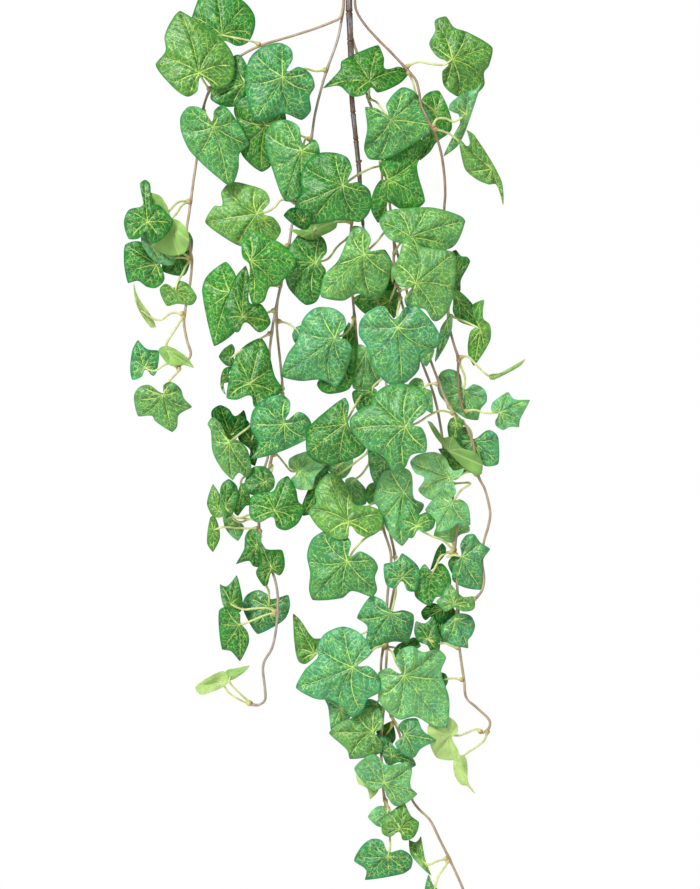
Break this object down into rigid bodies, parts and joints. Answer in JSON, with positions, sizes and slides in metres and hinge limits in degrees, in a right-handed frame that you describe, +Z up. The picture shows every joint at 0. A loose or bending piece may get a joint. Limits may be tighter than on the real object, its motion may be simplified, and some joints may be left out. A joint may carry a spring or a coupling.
{
  "type": "potted ivy",
  "caption": "Trailing ivy in a plain hanging pot: leafy strands run over the front rim and hang free as a long loose curtain, on a three-armed wire hanger with a hook.",
  "frame": {"origin": "the point at the top of the hook's inner curve, where it rests on what it hangs from", "axes": "+Z up; -Y towards the front, the side on which the strands hang; +X to the right seen from the front"},
  "size_m": [0.406, 0.2148, 1.2953],
  "materials": {
    "leaves": "matt printed fabric leaves on thin plastic stalks and stems",
    "pot": "satin",
    "soil": "rough",
    "wire": "brushed"
  },
  "bodies": {
    "root": {"pot": "pot", "soil": "soil", "hanger_hook": "wire", "hanger_arm_1": "wire", "hanger_arm_2": "wire", "hanger_arm_3": "wire", "left_outer_spray": "leaves", "left_inner_spray": "leaves", "right_outer_spray": "leaves", "main_spray": "leaves"}
  },
  "joints": []
}
